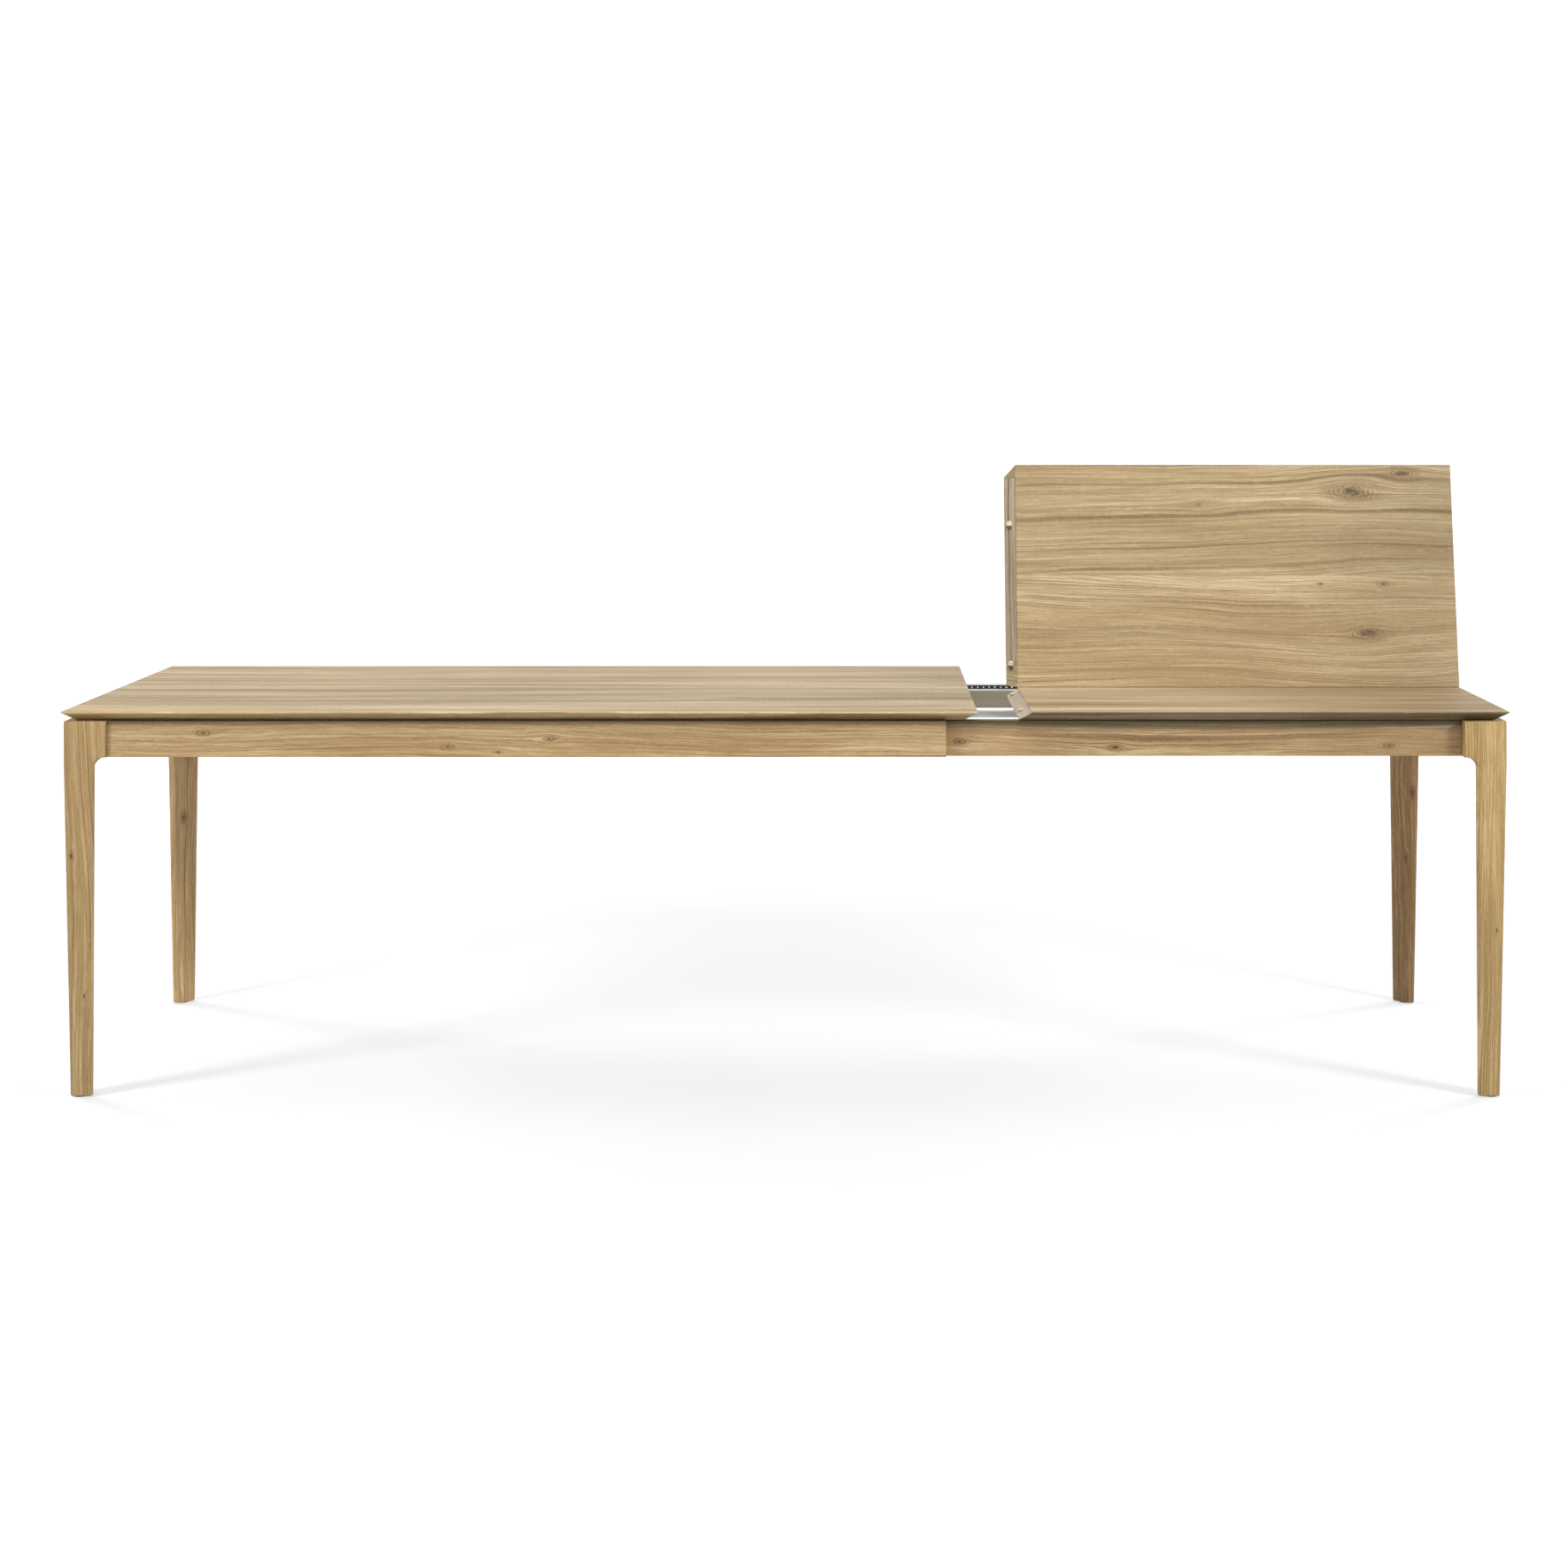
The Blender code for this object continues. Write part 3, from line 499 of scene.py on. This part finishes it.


# painted light: brighter towards the left end and on the faces that look down, with a painted
# highlight along the front edge
paint("main_top", oak("oak_main_top", "top", 1.3, board=0.137, shift=0.03, rough=0.5, fine=0.9,
                      tone=(0.90, 0.98, 1.03), underside_light=1.70,
                      painted_light=[("x", lo_all.x + 0.9, lo_all.x + 0.1, 1.16),
                             ("y", lo_all.y + 0.0030, lo_all.y + 0.0012, 2.0)],
                      knots=[(-1.10, 0.30, 0.010), (-0.1, -0.22, 0.006)]))
# painted shade: darker and warmer to the right and darker on the faces that look down; the cool tone
# is painted reflection
paint("leaf_front_panel", oak("oak_leaf_front", "top", 5.2, board=0.128, rough=0.5, underside_light=0.74,
                              tone=(1.12, 1.28, 1.62),
                              painted_light=[("x", leaf_lo.x + 0.25, leaf_hi.x - 0.1,
                                      (0.68, 0.63, 0.52))]))
# painted shade darker to the right, painted light a little brighter above the hinge, and darker
# beside the inner lipping
paint("leaf_back_panel", oak("oak_leaf_back", "top", 8.6, board=0.240, tilt=LEAN,
                             tone=(1.13, 1.23, 1.33), figure=0.4, fine=1.35, wave=1.35,
                             lines=0.85,
                             painted_light=[("x", leaf_lo.x + 0.55, leaf_hi.x - 0.05, 0.84),
                                    ("z", HINGE.z + 0.14, HINGE.z, 1.10),
                                    ("x", leaf_lo.x + 0.0235, leaf_lo.x + 0.0225, 0.75)],
                             knots=[on_leaf(0.78, 0.125, 0.017), on_leaf(0.89, 0.04, 0.011),
                                    on_leaf(0.80, 0.76, 0.013), on_leaf(0.84, 0.54, 0.004),
                                    on_leaf(0.70, 0.54, 0.003),
                                    (*on_leaf(0.44, 0.18, 0.009), 0.25)]))
paint("leaf_front_lipping", oak("oak_lip_front", "lip", 2.2, fine=1.6, tone=(0.98, 1.18, 1.75)))
paint("leaf_back_lipping", oak("oak_lip_back", "lip", 4.9, fine=1.6, tilt=LEAN,
                               tone=(0.98, 1.12, 1.50)))
# each apron's seed, the sign of y on its face greyed with painted shade or 0, and its knots as
# (distance from the left end, height above the end apron's underside, size)
APRONS = {"apron_front_outer": (21.0, 0, [(0.19, 0.047, 0.005), (0.67, 0.020, 0.004),
                                          (0.77, 0.010, 0.003), (0.87, 0.036, 0.005)]),
          "apron_front_inner": (24.5, 1, [(0.245, 0.029, 0.006), (0.553, 0.017, 0.005),
                                          (1.093, 0.020, 0.006)]),
          "apron_back_outer": (27.2, 0, [(0.9, 0.04, 0.005)]),
          "apron_back_inner": (29.9, -1, [(0.6, 0.03, 0.005)])}
for node, (seed, inside, spots) in APRONS.items():
    lo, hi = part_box(node)
    placed = [(lo.x + along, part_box("apron_end_left")[0].z + up, size)
              for along, up, size in spots]
    # painted shade, darker towards the slot under the top, most of all on the front inner apron
    start, slot_shade = (hi.z - 0.030, 0.20) if node == "apron_front_inner" else (hi.z - 0.014, 0.34)
    paint(node, oak(f"oak_{node}", "rail", seed, knots=placed, fine=1.4, wave=0.9,
                    inside=inside, lines=0.85, tone=(1.46, 1.45, 1.40),
                    painted_light=[("z", start, hi.z, slot_shade)]))
for k, node in enumerate(sorted(nodes)):
    if node.startswith("apron_end"):
        paint(node, oak(f"oak_{node}", "end", 6.0 + k, fine=1.5, wave=0.5))
    elif node.startswith(("top_batten", "leaf_carrier")):
        lengthwise = node in ("top_batten_front", "top_batten_back")
        paint(node, oak(f"oak_{node}", "rail" if lengthwise else "lip", 40.0 + k, fine=1.3,
                        tone=(0.85, 0.83, 0.80), rough=0.65))
    elif node.startswith("tongue"):
        lo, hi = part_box(node)
        middle = (lo.z + hi.z) / 2
        # painted shadow: the lower half of each tongue is darkened
        paint(node, oak(f"beech_{node}", "top", 50.0 + k, tone=(1.85, 2.2, 3.1), fine=3.0,
                        wave=0.3, tilt=LEAN if "back" in node else 0.0,
                        painted_light=[("z", middle, middle - 0.002, 0.10)]))

# ---------------------------------------------------------------- fittings

for node in nodes:
    if node.startswith("slide_"):
        paint(node, aluminium(f"alu_{node}"))
    elif node.startswith(("corner_bracket", "rail_bracket")):
        paint(node, metal(f"zinc_{node}", (0.62, 0.62, 0.60), (0.42, 0.43, 0.42), 0.36, 55.0))
    elif node.startswith("leg_bolt"):
        paint(node, metal(f"steel_{node}", (0.56, 0.55, 0.53), (0.36, 0.35, 0.34), 0.3, 160.0))
    elif node.startswith("hinge_barrel"):
        paint(node, metal(f"brass_{node}", (0.78, 0.60, 0.30), (0.55, 0.38, 0.16), 0.28, 240.0))
    elif node.startswith("glide"):
        paint(node, plastic(f"nylon_{node}", (0.055, 0.05, 0.045), (0.12, 0.11, 0.10), 0.55))


BALL_PITCH = {"inner": 0.0127, "outer": 0.0381}
CAGE_WALL = 0.0012
POCKET_RIM = 1.12         # the rim's radius as a share of the ball's


def ball_cage(which, side, mat_black, mat_ball):
    """The strip with its pockets, and bright balls standing proud on both faces."""
    node = f"ball_cage_{which}_{side}"
    lo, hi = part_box(node)
    pitch = BALL_PITCH[which]
    radius = (hi.y - lo.y) / 2
    wall, mid_y, mid_z = CAGE_WALL, (lo.y + hi.y) / 2, (lo.z + hi.z) / 2
    bm = loft([[(x, mid_y - wall / 2, lo.z), (x, mid_y + wall / 2, lo.z),
                (x, mid_y + wall / 2, hi.z), (x, mid_y - wall / 2, hi.z)] for x in (lo.x, hi.x)])
    body = frame_body(node)
    count = round((hi.x - lo.x) / pitch)
    balls = bmesh.new()
    for k in range(count):
        x = lo.x + (k + 0.5) * pitch
        spot = Matrix.Translation((x, mid_y, mid_z))
        bmesh.ops.create_uvsphere(balls, u_segments=20, v_segments=12, radius=radius, matrix=spot)
        turn = spot @ Matrix.Rotation(math.pi / 2, 4, "X")
        bmesh.ops.create_cone(bm, cap_ends=True, segments=20, radius1=radius * POCKET_RIM,
                              radius2=radius * POCKET_RIM, depth=wall * 2.0, matrix=turn)
    mesh_piece(f"cage_strip_{which}_{side}", bm, mat_black, body, node, smooth=35)
    mesh_piece(f"cage_balls_{which}_{side}", balls, mat_ball, body, smooth=60)


black = plastic("cage_black", (0.012, 0.012, 0.013), (0.035, 0.035, 0.037), 0.4)
steel = metal("ball_steel", (0.80, 0.80, 0.80), (0.66, 0.66, 0.66), 0.14, 300.0, 0.02)
for side in ("front", "back"):
    for which in ("inner", "outer"):
        ball_cage(which, side, black, steel)

# ---------------------------------------------------------------- stage, light, camera

FLOOR_HALF = 30.0
FLOOR_DROP = 0.0002       # the floor lies just under the feet
CAMERA_PLACE = (0.124, -6.309, 1.3943)
CAMERA_LENS = 68.2
CAMERA_SHIFT = (-0.041, -0.2522)

floor_mesh = bpy.data.meshes.new("floor")
floor_mesh.from_pydata([(FLOOR_HALF * a, FLOOR_HALF * b, 0)
                        for a, b in ((-1, -1), (1, -1), (1, 1), (-1, 1))], [], [(0, 1, 2, 3)])
floor = bpy.data.objects.new("floor", floor_mesh)
floor.location.z = -FLOOR_DROP
bpy.context.scene.collection.objects.link(floor)
# the sweep glows with painted light: a little under the table, running to white away from it
g = Graph("floor_paint")
ground = g.object_point()
tiny = g.noise(ground, scale=3.0, detail=3.0)
away = g.tree.nodes.new("ShaderNodeVectorMath")
away.operation = "LENGTH"
g.plug(ground, away.inputs[0])
g.set(Base_Color=g.mix(tiny, (0.49, 0.505, 0.525), (0.51, 0.525, 0.545)), Roughness=0.9,
      Emission_Strength=g.fit(away.outputs["Value"], 1.9, 3.8, 0.425, 0.70))
g.shader.inputs["Emission Color"].default_value = (1.0, 1.0, 1.0, 1.0)
g.shader.inputs["Specular IOR Level"].default_value = 0.1
floor_mesh.materials.append(g.mat)

world = bpy.data.worlds.new("studio")
bpy.context.scene.world = world
world.use_nodes = True
# bright behind the table, dimmer on the camera's side
sky = world.node_tree
spread = sky.nodes.new("ShaderNodeTexCoord").outputs["Generated"]
parts = sky.nodes.new("ShaderNodeSeparateXYZ")
ramp = sky.nodes.new("ShaderNodeMapRange")
ramp.interpolation_type = "SMOOTHSTEP"
for key, number in (("From Min", -0.35), ("From Max", 0.25), ("To Min", 0.40), ("To Max", 1.06)):
    ramp.inputs[key].default_value = number
sky.links.new(spread, parts.inputs[0])
sky.links.new(parts.outputs["Y"], ramp.inputs["Value"])
sky.links.new(ramp.outputs["Result"], sky.nodes["Background"].inputs["Strength"])
sky.nodes["Background"].inputs["Color"].default_value = (1.0, 1.0, 1.0, 1.0)


def softbox(name, place, aim, size, power):
    data = bpy.data.lights.new(name, "AREA")
    data.shape = "RECTANGLE"
    data.size, data.size_y = size
    data.energy = power
    lamp = bpy.data.objects.new(name, data)
    lamp.location = place
    lamp.rotation_euler = (Vector(aim) - Vector(place)).to_track_quat("-Z", "Y").to_euler()
    bpy.context.scene.collection.objects.link(lamp)
    return lamp


overhead = softbox("overhead", (0.2, -1.0, 3.5), (0.2, -0.1, 0.6), (5.0, 1.6), 190)
# the overhead box leaves the sweep out, so it throws no block of shadow on it
sweep = bpy.data.collections.new("sweep")
sweep.objects.link(floor)
sweep.collection_objects[0].light_linking.link_state = "EXCLUDE"
overhead.light_linking.receiver_collection = sweep
softbox("side_left", (-4.4, -3.2, 2.8), (-0.2, 0.0, 0.5), (1.0, 1.0), 150)
softbox("side_right", (4.6, -3.4, 2.8), (0.4, 0.0, 0.5), (1.0, 1.0), 170)
softbox("rear_left", (-4.4, 2.6, 2.8), (-0.2, 0.0, 0.5), (1.0, 1.0), 70)
softbox("rear_right", (4.6, 2.6, 2.8), (0.4, 0.0, 0.5), (1.0, 1.0), 70)

scene = bpy.context.scene
scene.view_settings.view_transform = "Standard"
scene.view_settings.look = "None"
scene.view_settings.exposure = 0.0
scene.view_settings.gamma = 1.0

cam_data = bpy.data.cameras.new("camera")
cam = bpy.data.objects.new("camera", cam_data)
scene.collection.objects.link(cam)
cam.location = CAMERA_PLACE
cam.rotation_euler = (math.radians(90), 0, 0)
cam_data.sensor_width = 36.0
cam_data.lens = CAMERA_LENS
cam_data.shift_x, cam_data.shift_y = CAMERA_SHIFT
cam_data.clip_end = 100
scene.camera = cam
